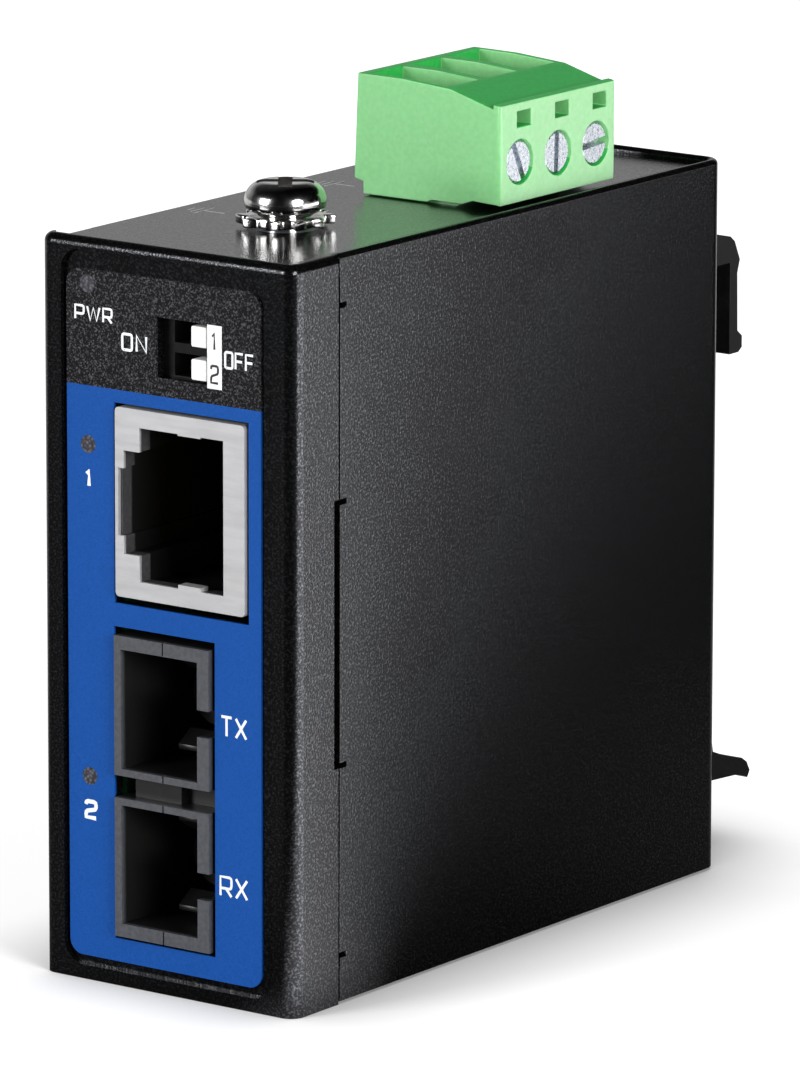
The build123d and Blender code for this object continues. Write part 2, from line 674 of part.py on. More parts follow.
capacitor_zs = (
    board_screws[-1][1] + board_screw_r + 0.4 + capacitor_size[1] / 2,
    clip_screws[0] + inductor_size[1] / 2 + 0.2 + capacitor_size[1] / 2,
)
for i, z in enumerate(capacitor_zs, 1):
    with BuildPart(Plane(origin=(board_x, rear_row_y, z), z_dir=(1, 0, 0))) as capacitor:
        low = (Align.CENTER, Align.CENTER, Align.MIN)
        Box(capacitor_size[1], capacitor_size[1], 0.8, align=low)
        Cylinder(capacitor_size[1] / 2 - 0.15, capacitor_size[0], align=low)
        fillet(capacitor.faces().sort_by(Axis.X)[-1].edges(), 0.5)
    write(capacitor, f"capacitor_{i}")

# Header that the terminal plug pushes into
with BuildPart() as terminal_header:
    shroud_x = (board_x, tongue_x[1] + header_clear + header_wall)
    shroud_half = tongue_half + header_clear + header_wall
    span(shroud_x, around(plug_y, shroud_half), (header_base, header_top))
    span(
        (tongue_x[0] - header_clear, tongue_x[1] + header_clear),
        around(plug_y, tongue_half + header_clear),
        (header_floor, header_top + 1),
        Mode.SUBTRACT,
    )
    for y in pole_ys:
        span(around(pin_x, pin_w / 2), around(y, pin_w / 2), (header_base - 1, header_floor + 1), Mode.SUBTRACT)
write(terminal_header, "terminal_header")

for i, y in enumerate(pole_ys, 1):
    with BuildPart() as header_pin:
        span(around(pin_x, pin_w / 2), around(y, pin_w / 2), (header_base - 2.7, pin_top))
        chamfer(header_pin.faces().sort_by(Axis.Z)[-1].edges(), 0.25)
        span((board_back - 1.0, pin_x), around(y, pin_w / 2), (header_base - 2.7, header_base - 1.7))
    write(header_pin, f"header_pin_{i}")

# Plug housing: funnels on top, screws on the right side, tongue below
plug_ends = around(plug_y, plug_half)
with BuildPart() as plug_body:
    with BuildSketch(facing_front(plug_ends[0])):
        with BuildLine():
            Polyline(
                (tongue_x[0], plug_foot),
                (tongue_x[0], plug_bottom + 0.75),
                (plug_x[0], plug_bottom + 0.95),
                (plug_x[0] + 0.35, plug_rear_top),
                (plug_x[0] + 4.6, plug_rear_top - 0.05),
                (plug_ridge_x, plug_ridge_z),
                (plug_x[1] - 0.75, plug_face_top - 0.25),
                (plug_x[1] - 0.75, plug_face_top + 0.1),
                (plug_x[1], plug_face_top),
                (plug_x[1], plug_bottom + 0.2),
                (7.5, plug_bottom + 0.35),
                (6.5, plug_bottom),
                (3.6, plug_bottom),
                (3.2, plug_foot),
                close=True,
            )
        make_face()
    extrude(amount=-2 * plug_half)
    span(tongue_x, around(plug_y, tongue_half), (tongue_bottom, plug_bottom + 1))
    fillet(plug_body.edges().filter_by(Axis.Z).filter_by(lambda e: e.center().X > plug_x[1] - 0.1), 0.3)
    cavity_x = (cage_x[0] - cage_travel - 0.4, cage_x[1] + 0.3)
    for y in pole_ys:
        span(funnel_x, around(y, funnel_w / 2), (funnel_floor, plug_rear_top + 1), Mode.SUBTRACT)
        span((-0.4, tab_x[0]), around(y, 1.5), (screw_z, funnel_floor + 0.1), Mode.SUBTRACT)
        span(cavity_x, around(y, cage_w / 2 + 0.1), around(screw_z, cage_h / 2 + 0.15), Mode.SUBTRACT)
        rod((screw_head_x[0] - 0.05, y, screw_z), (1, 0, 0), screw_hole_r, 4.0, Mode.SUBTRACT)
        rod((cavity_x[1] - 0.1, y, screw_z), (1, 0, 0), screw_shank_r + 0.1, 2.0, Mode.SUBTRACT)
        span((pin_x - 1.35, tab_x[1]), around(y, tab_w / 2 + 0.15), (tongue_bottom - 1, screw_z), Mode.SUBTRACT)
        span((plug_x[1] - 2.0, plug_x[1] + 1), around(y + 0.48, test_hole[0] / 2), around(test_hole_z, test_hole[1] / 2),
             Mode.SUBTRACT)
write(plug_body, "plug_body")

for i, y in enumerate(pole_ys, 1):
    with BuildPart() as plug_contact:
        span(tab_x, around(y, tab_w / 2), (tongue_bottom + 0.6, screw_z + 1.2))
        fork_x = (pin_x - pin_w / 2 - 0.66, tab_x[0] + 0.1)
        span(fork_x, around(y, tab_w / 2), (tongue_bottom + 0.6, pin_top + 0.9))
        span(around(pin_x, pin_w / 2 + 0.06), around(y, tab_w), (tongue_bottom - 1, pin_top + 0.3), Mode.SUBTRACT)
    write(plug_contact, f"plug_contact_{i}")

    with BuildPart() as clamp_cage:
        span(cage_x, around(y, cage_w / 2), around(screw_z, cage_h / 2))
        span((cage_x[0] + cage_far, cage_x[1] - cage_near), around(y, cage_w / 2 - cage_side),
             around(screw_z, cage_h), Mode.SUBTRACT)
        rod((screw_tip, y, screw_z), (1, 0, 0), screw_shank_r + shank_clear, 6.0, Mode.SUBTRACT)
        fillet(clamp_cage.edges().filter_by(Axis.Z).filter_by(lambda e: abs(e.center().Y - y) > cage_w / 2 - 0.1), 0.3)
    write(clamp_cage, f"clamp_cage_{i}")

    with BuildPart(Plane(origin=(screw_head_x[1], y, screw_z), x_dir=(0, 1, 0), z_dir=(1, 0, 0))) as terminal_screw:
        top = (Align.CENTER, Align.CENTER, Align.MAX)
        Cylinder(screw_head_r, screw_head_x[1] - screw_head_x[0], align=top)
        chamfer(terminal_screw.faces().sort_by(Axis.X)[-1].edges(), 0.15)
        with Locations((0, 0, -1.0)):
            Cylinder(screw_shank_r, screw_head_x[1] - screw_tip - 1.0, align=top)
        slot_turn = (-65, 88, 4)[i - 1]
        with Locations(Location((0, 0, 0), (0, 0, slot_turn))):
            Box(2 * screw_head_r + 1, 0.55, 0.7, align=top, mode=Mode.SUBTRACT)
    write(terminal_screw, f"terminal_screw_{i}")

# Ground screw with a toothed washer, and the nut pressed in under the plate
with BuildPart() as ground_washer:
    with BuildSketch(Plane.XY.offset(top_plate_z)):
        with Locations((ground_x, ground_y)):
            Circle(washer_r - 0.9)
            Circle(ground_bore_r + 0.1, mode=Mode.SUBTRACT)
            with PolarLocations(washer_r - 0.75, 10):
                Rectangle(1.5, 1.3)
    extrude(amount=washer_t)
write(ground_washer, "ground_washer")

with BuildPart(Plane(origin=(ground_x, ground_y, top_plate_z + washer_t))) as ground_screw:
    low = (Align.CENTER, Align.CENTER, Align.MIN)
    Cylinder(ground_head_r, ground_head_h, align=low)
    fillet(ground_screw.faces().sort_by(Axis.Z)[-1].edges(), 1.5)
    fillet(ground_screw.faces().sort_by(Axis.Z)[0].edges(), 0.6)
    Cylinder(ground_shank_r, ground_length, align=(Align.CENTER, Align.CENTER, Align.MAX))
    # Cross recess, as the screw happens to stand
    with Locations(Location((0, 0, ground_head_h - 1.4), (0, 0, 36))):
        Box(4.4, 1.1, 3.0, align=low, mode=Mode.SUBTRACT)
        Box(1.1, 4.4, 3.0, align=low, mode=Mode.SUBTRACT)
write(ground_screw, "ground_screw")

with BuildPart() as ground_nut:
    with BuildSketch(Plane.XY.offset(top_plate_z - sheet)):
        with Locations((ground_x, ground_y)):
            RegularPolygon(nut_flats / 2, 6, major_radius=False)
            Circle(ground_bore_r, mode=Mode.SUBTRACT)
    extrude(amount=-nut_h)
    with BuildSketch(Plane.XY.offset(top_plate_z - sheet)):
        with Locations((ground_x, ground_y)):
            Circle(2.55)
            Circle(ground_bore_r, mode=Mode.SUBTRACT)
    extrude(amount=sheet)
write(ground_nut, "ground_nut")

# DIN rail clip, one profile along X
with BuildPart() as din_clip:
    with BuildSketch(Plane.YZ.offset(-clip_half)):
        with BuildLine() as clip_line:
            Polyline(
                (back_y, lip_bottom - 0.4),
                (seat_y + 1.8, lip_bottom),
                (back_y + 8.2, lip_bottom - 0.25),
                (back_y + 9.4, lip_bottom - 0.75),
                (back_y + 9.75, lip_bottom - 0.2),
                (back_y + 9.3, lip_bottom + 0.6),
                (back_y + 8.6, lip_bottom + 1.05),
                (back_y + 6.1, lip_top - 0.65),
                (seat_y + 1.9, lip_top),
                (seat_y + rail_t + 0.6, catch_top),
                (seat_y + rail_t + 0.25, catch_top),
                (seat_y + rail_t + 0.25, rail_low),
                (seat_y, rail_low),
                (seat_y, slot_top),
                (hook_inner, slot_top),
                (hook_inner, hook_bottom),
                (hook_outer + 0.25, hook_bottom),
                (hook_outer + 0.75, hook_bottom + 0.35),
                (hook_outer + 0.75, hook_bottom + 1.3),
                (hook_outer + 0.1, hook_bottom + 1.8),
                (hook_outer, slot_top - 0.95),
                (hook_outer + 0.35, slot_top + 0.1),
                (hook_outer - 0.4, hook_top - 0.9),
                (hook_outer - 1.0, hook_top - 0.45),
                (back_y + 4.3, hook_top),
                (back_y, hook_top),
                close=True,
            )
        make_face()
    extrude(amount=2 * clip_half)
    for z in clip_screws:
        rod((0, seat_y + 1, z), (0, -1, 0), 1.6, clip_t + 2, Mode.SUBTRACT)
        with Locations(Plane(origin=(0, seat_y, z), z_dir=(0, -1, 0))):
            Cone(3.0, 1.6, 1.5, align=(Align.CENTER, Align.CENTER, Align.MIN), mode=Mode.SUBTRACT)
    # Upright grooves in the hook guide the ends of the wire spring
    for side in (-1, 1):
        groove_x = around(side * spring_half, spring_slot / 2)
        span(groove_x, (seat_y - 1.3, seat_y + 0.1), (spring_rest_z - 1.5, slot_top + 0.2), Mode.SUBTRACT)
write(din_clip, "din_clip")

with BuildPart() as rail_spring:
    spring_y = seat_y + slot_w / 2
    rod((-spring_half, spring_y, spring_rest_z), (1, 0, 0), spring_wire_r, 2 * spring_half)
    for side in (-1, 1):
        rod((side * spring_half, seat_y - 1.2, spring_rest_z), (0, 1, 0), spring_wire_r, spring_y - seat_y + 1.2)
        with Locations((side * spring_half, spring_y, spring_rest_z)):
            Sphere(spring_wire_r)
write(rail_spring, "rail_spring")

for i, z in enumerate(clip_screws, 1):
    flat_screw(f"clip_screw_{i}", Plane(origin=(0, seat_y - 0.1, z), z_dir=(0, 1, 0)), 2.85, 1.4, clip_screw_r, 6.0, 3.0)
    with BuildPart(Plane(origin=(0, inner_back, z), z_dir=(0, -1, 0))) as clip_nut:
        low = (Align.CENTER, Align.CENTER, Align.MIN)
        Cylinder(3.0, 2.2, align=low)
        with Locations((0, 0, -sheet)):
            Cylinder(2.05, sheet, align=low)
        with Locations((0, 0, -sheet)):
            Cylinder(clip_screw_r + 0.05, 3.2, align=low, mode=Mode.SUBTRACT)
    write(clip_nut, f"clip_nut_{i}")
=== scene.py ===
# %% [markdown]
# # A fibre media converter for a DIN rail
# The folded steel case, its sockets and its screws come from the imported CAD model, at their real size.
# This script gives every piece its finish, models the small forms that CAD leaves plain, prints the
# lettering, and sets the light and the camera of the photograph. Lengths are in metres.

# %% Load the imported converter
import bpy
import math
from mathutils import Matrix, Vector


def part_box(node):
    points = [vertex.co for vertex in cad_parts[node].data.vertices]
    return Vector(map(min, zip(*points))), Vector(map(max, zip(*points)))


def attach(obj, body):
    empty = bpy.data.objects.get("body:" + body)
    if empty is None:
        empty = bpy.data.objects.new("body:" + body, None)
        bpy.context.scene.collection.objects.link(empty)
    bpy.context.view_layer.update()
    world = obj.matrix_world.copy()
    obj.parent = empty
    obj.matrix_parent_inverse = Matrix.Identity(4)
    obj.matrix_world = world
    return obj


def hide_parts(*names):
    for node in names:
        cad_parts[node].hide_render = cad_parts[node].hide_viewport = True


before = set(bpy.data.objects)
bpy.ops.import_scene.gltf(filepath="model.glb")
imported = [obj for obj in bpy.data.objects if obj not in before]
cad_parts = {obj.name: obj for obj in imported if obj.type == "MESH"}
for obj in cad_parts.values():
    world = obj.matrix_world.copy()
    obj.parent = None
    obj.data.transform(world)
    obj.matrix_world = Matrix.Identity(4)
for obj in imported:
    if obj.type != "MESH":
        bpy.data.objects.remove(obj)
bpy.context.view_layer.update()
mm = 0.001

# %% [markdown]
# ## Camera
# The product was photographed with a long lens from the right and a little above, so its upright edges
# stay almost parallel. The camera stands where a fit to the case corners and sockets put it.

# %% Place the camera
scene = bpy.context.scene
scene.view_settings.view_transform = "Standard"
camera_data = bpy.data.cameras.new("photo_camera")
camera_data.sensor_fit = "HORIZONTAL"
camera_data.sensor_width = 36.0
camera_data.lens = 398.22
camera_data.clip_start = 0.05
camera_data.clip_end = 20.0
camera = bpy.data.objects.new("photo_camera", camera_data)
camera.location = (0.39934, -0.54407, 0.18155)
down, roll, heading = 12.58, -0.11, 36.23
camera.rotation_euler = (math.radians(90 - down), math.radians(roll), math.radians(heading))
scene.collection.objects.link(camera)
scene.camera = camera
print("camera distance", round(camera.location.length, 3))

# %% [markdown]
# ## Floor
# A mirroring surface shows what it faces, so the coat gets its look from what lies around it. For the
# camera the floor is a white sweep, a little shaded where the case touches it. For the coat it is dark,
# with one bright card on the right, whose slanting edge gives the side panel its fall from light to
# black, a faint light on the front left, and a paler part behind. A real card would stand in the picture,
# so a Light Path node shows this one only to rays that were mirrored.

# %% Small helpers for shader nodes
def new_material(name):
    """An empty node material with its shader."""
    material = bpy.data.materials.new(name)
    material.use_nodes = True
    return material, material.node_tree, material.node_tree.nodes["Principled BSDF"]


def link(tree, start, end):
    tree.links.new(start, end)


def set_or_link(tree, value, end):
    """Give an input a constant, or link a socket to it."""
    if isinstance(value, (float, tuple)):
        end.default_value = value
    else:
        link(tree, value, end)


def position(tree, kind="Object"):
    """Socket with the place on the object's own axes, or with the direction for the world."""
    return tree.nodes.new("ShaderNodeTexCoord").outputs[kind]


def axes(tree, vector):
    """Sockets X, Y and Z of a vector."""
    split = tree.nodes.new("ShaderNodeSeparateXYZ")
    link(tree, vector, split.inputs["Vector"])
    return split.outputs


def vector_number(tree, operation, vector, other=None):
    """Socket with a number made from a vector, such as its length."""
    step = tree.nodes.new("ShaderNodeVectorMath")
    step.operation = operation
    link(tree, vector, step.inputs[0])
    if other:
        step.inputs[1].default_value = other
    return step.outputs["Value"]


def mix_colours(tree, factor, first, second):
    """Socket with a mix of two colours, each a constant or a socket."""
    mix = tree.nodes.new("ShaderNodeMix")
    mix.data_type = "RGBA"
    link(tree, factor, mix.inputs["Factor"])
    set_or_link(tree, first, mix.inputs["A"])
    set_or_link(tree, second, mix.inputs["B"])
    return mix.outputs["Result"]


def value_range(tree, factor, low, high, start=0.0, end=1.0):
    """Turn the range from start to end into the range from low to high."""
    spread = tree.nodes.new("ShaderNodeMapRange")
    for name, value in (("From Min", start), ("From Max", end), ("To Min", low), ("To Max", high)):
        spread.inputs[name].default_value = value
    link(tree, factor, spread.inputs["Value"])
    return spread.outputs["Result"]


def sum_of_products(tree, *pairs):
    """Socket with the sum of factor times value over the pairs, where a value may be a number."""
    total = 0.0
    for factor, value in pairs:
        step = tree.nodes.new("ShaderNodeMath")
        step.operation = "MULTIPLY_ADD"
        link(tree, factor, step.inputs[0])
        set_or_link(tree, value, step.inputs[1])
        set_or_link(tree, total, step.inputs[2])
        total = step.outputs[0]
    return total


# %% Make the floor
def mirrored_floor(tree, place, card=4.5, dark=0.005, left=0.12, back=0.6):
    """Three brightnesses of the floor for the coat: the card's, the left part's and the back part's."""
    split = axes(tree, place)
    x, y = split["X"], split["Y"]
    across = vector_number(tree, "DOT_PRODUCT", place, (-0.806, 0.592, 0.0))
    card_edge = value_range(tree, across, card, dark, start=-0.032, end=-0.019)
    card_front = value_range(tree, y, 0.0, 1.0, start=-0.06, end=-0.02)
    right_side = value_range(tree, x, 0.0, 1.0, start=0.005, end=0.02)
    card_light = sum_of_products(tree, (sum_of_products(tree, (card_edge, card_front)), right_side))
    left_light = value_range(tree, x, left, 0.0, start=-0.02, end=0.0)
    backwards = vector_number(tree, "DOT_PRODUCT", place, (-0.4, 1.0, 0.0))
    behind = value_range(tree, backwards, 0.0, back, start=0.0, end=0.1)
    beside = value_range(tree, x, 1.0, 0.0, start=-0.02, end=0.06)
    return card_light, left_light, sum_of_products(tree, (behind, beside))


def white_floor(tree, place, near=0.56, shade=0.4):
    """Brightness of the floor for the camera, shaded under the case and evenly white far off."""
    contact = tree.nodes.new("ShaderNodeAmbientOcclusion")
    contact.samples = 16
    contact.inputs["Distance"].default_value = 12 * mm
    open_sky = value_range(tree, contact.outputs["AO"], 0.0, 1.0, start=shade, end=1.0)
    distance = vector_number(tree, "LENGTH", place)
    far_white = value_range(tree, distance, near, 1.0, start=0.2, end=0.9)
    return sum_of_products(tree, (open_sky, far_white))


def make_floor(size=8.0, below=0.00002):
    """A floor that is white for the camera and mostly dark for mirroring surfaces."""
    bpy.ops.mesh.primitive_plane_add(size=size, location=(0, 0, -below))
    floor = bpy.context.object
    floor.name = "floor"
    material, tree, shader = new_material("white_sweep")
    shader.inputs["Roughness"].default_value = 0.9
    shader.inputs["Specular IOR Level"].default_value = 0.0
    rays = tree.nodes.new("ShaderNodeLightPath").outputs
    seen, glossy = rays["Is Camera Ray"], rays["Is Glossy Ray"]
    tone = mix_colours(tree, glossy, (0.82, 0.82, 0.82, 1.0), (0.02, 0.02, 0.02, 1.0))
    link(tree, tone, shader.inputs["Base Color"])
    place = position(tree)
    lights = mirrored_floor(tree, place)
    glow = sum_of_products(tree, (seen, white_floor(tree, place)), *[(glossy, light) for light in lights])
    link(tree, glow, shader.inputs["Emission Strength"])
    shader.inputs["Emission Color"].default_value = (1, 1, 1, 1)
    floor.data.materials.append(material)
    return floor


print("floor:", make_floor().name)

# %% [markdown]
# ## World and softboxes
# The case is lit by two softboxes in front of it, one on each side of the camera, and weakly from above.
# The world is white for the camera and gives matt surfaces an even fill. Mirroring ones see only a band
# of light near the horizon, and the room above it stays dim, so that the black coat stays black.

# %% Set the world and the softboxes
def by_height(tree, height, stops):
    """Brightness by the upward part of a direction, given as pairs of that part and brightness."""
    ramp = tree.nodes.new("ShaderNodeValToRGB")
    marks = ramp.color_ramp.elements
    for place, value in stops[1:-1]:
        marks.new(place)
    for mark, (place, value) in zip(marks, stops):
        mark.position = place
        mark.color = (value, value, value, 1)
    link(tree, height, ramp.inputs["Fac"])
    return ramp.outputs["Color"]


def make_world():
    """White for the camera, a fill for matt surfaces, a low band of light for mirroring ones."""
    world = bpy.data.worlds.new("studio")
    world.use_nodes = True
    scene.world = world
    tree = world.node_tree
    background = tree.nodes["Background"]
    rays = tree.nodes.new("ShaderNodeLightPath").outputs
    direction = axes(tree, position(tree, "Generated"))
    fill = by_height(tree, direction["Z"], ((0.0, 0.6), (0.3, 0.5), (0.8, 0.2)))
    band_stops = ((0.0, 0.3), (0.12, 0.45), (0.3, 0.4), (0.55, 0.03), (1.0, 0.02))
    band = by_height(tree, direction["Z"], band_stops)
    left_side = value_range(tree, direction["X"], 1.25, 0.0, start=-0.35, end=0.05)
    back_side = value_range(tree, direction["Y"], 0.08, 1.0, start=-0.3, end=0.3)
    mirrored = sum_of_products(tree, (sum_of_products(tree, (band, left_side)), back_side))
    glow = sum_of_products(tree, (rays["Is Camera Ray"], 1.0), (rays["Is Diffuse Ray"], fill),
                           (rays["Is Glossy Ray"], mirrored))
    link(tree, glow, background.inputs["Strength"])
    background.inputs["Color"].default_value = (1, 1, 1, 1)


def softbox(name, place, width, height, power, mirrored=True, aim=(0, 0, 0.03)):
    """A rectangular area lamp at a place, turned towards the middle of the case."""
    lamp_data = bpy.data.lights.new(name, "AREA")
    lamp_data.shape = "RECTANGLE"
    lamp_data.size = width
    lamp_data.size_y = height
    lamp_data.energy = power
    lamp = bpy.data.objects.new(name, lamp_data)
    lamp.location = place
    lamp.rotation_euler = (Vector(aim) - Vector(place)).to_track_quat("-Z", "Y").to_euler()
    lamp.visible_glossy = mirrored
    scene.collection.objects.link(lamp)


make_world()
softbox("overhead_softbox", (-0.15, 0.1, 0.7), width=0.6, height=0.6, power=0.7, mirrored=False)
softbox("left_softbox", (-0.45, -0.95, 0.3), width=0.4, height=0.45, power=8.0)
softbox("right_softbox", (1.0, -0.35, 0.3), width=0.4, height=0.45, power=11.0)

# %% [markdown]
# ## Finishes
# Every finish starts from the same few nodes: a fine noise read in the object's own coordinates, used
# for the grain of the surface, for small changes of colour and for bump. Only the scale, the strength
# and the shader's own values differ from one material to the next.

# %% A grained finish
def grain(tree, scale, detail, stretch=(1, 1, 1)):
    """Noise on the object's coordinates, finer along an axis whose stretch is larger."""
    mapping = tree.nodes.new("ShaderNodeMapping")
    mapping.inputs["Scale"].default_value = stretch
    noise = tree.nodes.new("ShaderNodeTexNoise")
    noise.inputs["Scale"].default_value = scale
    noise.inputs["Detail"].default_value = detail
    link(tree, position(tree), mapping.inputs["Vector"])
    link(tree, mapping.outputs["Vector"], noise.inputs["Vector"])
    return noise.outputs["Fac"]


def colour_ramp(tree, factor, dark, light, low=0.35, high=0.65):
    """Colour that turns from dark to light while the factor goes from low to high."""
    ramp = tree.nodes.new("ShaderNodeValToRGB")
    ramp.color_ramp.elements[0].position = low
    ramp.color_ramp.elements[0].color = (*dark, 1)
    ramp.color_ramp.elements[1].position = high
    ramp.color_ramp.elements[1].color = (*light, 1)
    link(tree, factor, ramp.inputs["Fac"])
    return ramp.outputs["Color"]


def add_bump(tree, shader, height, strength, distance):
    """Let a height tilt the surface's normal."""
    bump = tree.nodes.new("ShaderNodeBump")
    bump.inputs["Strength"].default_value = strength
    bump.inputs["Distance"].default_value = distance
    link(tree, height, bump.inputs["Height"])
    link(tree, bump.outputs["Normal"], shader.inputs["Normal"])


def grained(name, dark, light, roughness, scale, bump, metallic=0.0, specular=0.5, stretch=(1, 1, 1),
            low=0.35, high=0.65):
    """A finish whose colour, roughness and bump follow one fine noise.

    Roughness is given for the noise's valleys and peaks, scale is the number of grains in a metre, and
    bump is its strength and its depth in metres. The colour changes while the noise goes from low to high.
    """
    material, tree, shader = new_material(name)
    noise = grain(tree, scale, detail=3.0, stretch=stretch)
    link(tree, colour_ramp(tree, noise, dark, light, low, high), shader.inputs["Base Color"])
    link(tree, value_range(tree, noise, *roughness), shader.inputs["Roughness"])
    add_bump(tree, shader, noise, *bump)
    shader.inputs["Metallic"].default_value = metallic
    shader.inputs["Specular IOR Level"].default_value = specular
    return material


def dress(material, *names):
    """Give CAD pieces their finish."""
    for name in names:
        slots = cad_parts[name].data.materials
        slots.clear()
        slots.append(material)


# %% [markdown]
# ## Powder coat
# The sheet steel is sprayed with a black powder that melts into tiny beads. Each bead catches the light,
# so the coat looks speckled where something bright is mirrored in it and plain black elsewhere. A nearly
# metallic shader with a dark colour gives this, because its colour is the share of light that it mirrors.
# A pattern on the specular level of a plain paint would look alike, but gets lost in the export. A noise
# of about a fifth of a millimetre makes the beads: its peaks mirror more, are smoother, and stand up in
# the bump.

# %% Powder coat on the three sheets
powder_coat = grained("black_powder_coat", (0.018, 0.0185, 0.02), (0.1, 0.103, 0.111), (0.28, 0.1), 5300,
                      (0.28, 0.00005), metallic=0.92, low=0.48, high=0.76)
dress(powder_coat, "front_cover", "chassis", "side_cover")
print("coated:", powder_coat.name)

# %% [markdown]
# ## Printed overlay
# The label is one film in two colours, black at the top and blue below. A step on the height inside the
# material keeps the border sharp without a cut in the mesh.

# %% Label film
def label_film(border):
    """Film that is black above the border and blue below it."""
    material, tree, shader = new_material("printed_label_film")
    above = tree.nodes.new("ShaderNodeMath")
    above.operation = "GREATER_THAN"
    above.inputs[1].default_value = border
    link(tree, axes(tree, position(tree))["Z"], above.inputs[0])
    noise = grain(tree, scale=7500, detail=2.0)
    blue = colour_ramp(tree, noise, (0.002, 0.056, 0.255), (0.005, 0.065, 0.3))
    black = colour_ramp(tree, noise, (0.004, 0.004, 0.0048), (0.09, 0.09, 0.098), low=0.5, high=0.75)
    link(tree, mix_colours(tree, above.outputs[0], blue, black), shader.inputs["Base Color"])
    link(tree, value_range(tree, noise, 0.38, 0.5), shader.inputs["Roughness"])
    add_bump(tree, shader, noise, strength=0.2, distance=0.00003)
    shader.inputs["Specular IOR Level"].default_value = 0.12
    return material


label_border = 46.55 * mm
dress(label_film(label_border), "front_label")
print("label turns from blue to black at", round(label_border / mm, 2), "mm")

# %% [markdown]
# ## Metals
# Zinc, nickel and tin are the same kind of surface with different tints. On the socket's nickel shield
# the noise is stretched into the faint lines that rolling leaves. The terminal screws have a finer and
# stronger grain than the other zinc, as the photograph shows.

# %% Metal finishes
zinc_plate = grained("zinc_plate", (0.55, 0.58, 0.63), (0.72, 0.75, 0.8), (0.22, 0.4), 1500,
                     (0.3, 0.00003), metallic=0.8)
polished_steel = grained("polished_steel", (0.62, 0.61, 0.6), (0.72, 0.71, 0.7), (0.12, 0.2), 1500,
                         (0.05, 0.00001), metallic=1.0)
satin_nickel = grained("satin_nickel", (0.52, 0.52, 0.53), (0.58, 0.58, 0.59), (0.34, 0.42), 2200,
                       (0.12, 0.00001), metallic=0.55, stretch=(0.15, 1, 1))
black_zinc = grained("black_zinc", (0.012, 0.012, 0.013), (0.03, 0.03, 0.032), (0.3, 0.42), 2500,
                     (0.1, 0.00001), metallic=0.3)
gold_flash = grained("gold_flash", (0.8, 0.55, 0.18), (0.9, 0.66, 0.26), (0.2, 0.3), 2500,
                     (0.05, 0.00001), metallic=1.0)
tin_plate = grained("tin_plate", (0.58, 0.58, 0.57), (0.7, 0.7, 0.68), (0.25, 0.38), 2500,
                    (0.1, 0.00001), metallic=1.0)
drawn_can = grained("drawn_aluminium", (0.7, 0.7, 0.7), (0.8, 0.8, 0.8), (0.25, 0.35), 2500,
                    (0.08, 0.00001), metallic=1.0)
bright_zinc = grained("bright_zinc", (0.46, 0.49, 0.54), (0.7, 0.73, 0.79), (0.2, 0.36), 4000,
                      (0.25, 0.00003), metallic=0.92, low=0.3, high=0.7)
metals = (zinc_plate, polished_steel, satin_nickel, black_zinc, gold_flash, tin_plate, drawn_can, bright_zinc)
print("metals:", [metal.name for metal in metals])

# %% Dress the metal pieces
def numbered(name, count):
    """The names of pieces that differ only by a number at the end, counted from 1."""
    return [f"{name}_{i + 1}" for i in range(count)]


dress(zinc_plate, "ground_nut", "rail_spring", *numbered("clip_nut", 2), *numbered("clamp_cage", 3),
      *numbered("standoff", 4), *numbered("board_screw", 4))
dress(bright_zinc, *numbered("terminal_screw", 3))
dress(polished_steel, "ground_screw", "ground_washer")
dress(satin_nickel, "rj45_shield")
dress(black_zinc, *numbered("cover_screw", 2), *numbered("flange_screw", 2), *numbered("clip_screw", 2))
dress(gold_flash, "rj45_contacts")
dress(tin_plate, "transceiver_pins", "crystal", *numbered("header_pin", 3), *numbered("plug_contact", 3))
dress(drawn_can, *numbered("capacitor", 2))
print("metal pieces:", sum(piece.data.materials[0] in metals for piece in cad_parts.values()))

# %% [markdown]
# ## Plastics
# Moulded plastic has a faint even texture from its mould. The green terminal plug is a little clear, so
# light that enters it comes out again softened, which subsurface scattering gives. Its top and the walls
# inside its wire entries get a deeper green, which is painted shade, and its right face a paler green, which
# is a painted sheen, so there are three greens, which go to its faces by their direction once its edges are
# rounded. Inside the sockets the moulding fades to dark grey behind the front, which is painted shade.

# %% Plastic finishes
black_moulding = grained("black_moulding", (0.006, 0.006, 0.006), (0.012, 0.012, 0.012), (0.42, 0.55), 3000,
                         (0.15, 0.00002))
port_moulding = grained("port_moulding", (0.05, 0.053, 0.061), (0.066, 0.07, 0.08), (0.34, 0.46), 3000,
                        (0.12, 0.00002))
clip_moulding = grained("clip_moulding", (0.003, 0.003, 0.0035), (0.006, 0.006, 0.007), (0.4, 0.5), 2600,
                        (0.18, 0.00002), specular=0.16)
white_moulding = grained("white_moulding", (0.78, 0.78, 0.76), (0.84, 0.84, 0.82), (0.3, 0.4), 2600,
                         (0.08, 0.00001))
ground_ceramic = grained("ground_ceramic", (0.8, 0.79, 0.76), (0.86, 0.85, 0.82), (0.12, 0.2), 3000,
                         (0.03, 0.00001))
lamp_resin = grained("lamp_resin", (0.4, 0.62, 0.34), (0.5, 0.7, 0.42), (0.12, 0.2), 2000,
                     (0.03, 0.00001))
board_mask = grained("board_mask", (0.004, 0.03, 0.012), (0.008, 0.05, 0.02), (0.3, 0.42), 900,
                     (0.15, 0.00002))


def paint_socket_shade(material, front, back, grey):
    """Paint shade into the colour: fade it to a dark grey behind the front, as a narrow socket keeps light
    out.
    """
    tree = material.node_tree
    base = tree.nodes["Principled BSDF"].inputs["Base Color"]
    depth = value_range(tree, axes(tree, position(tree))["Y"], 0.0, 1.0, front, back)
    link(tree, mix_colours(tree, depth, base.links[0].from_socket, (grey, grey, grey, 1.0)), base)
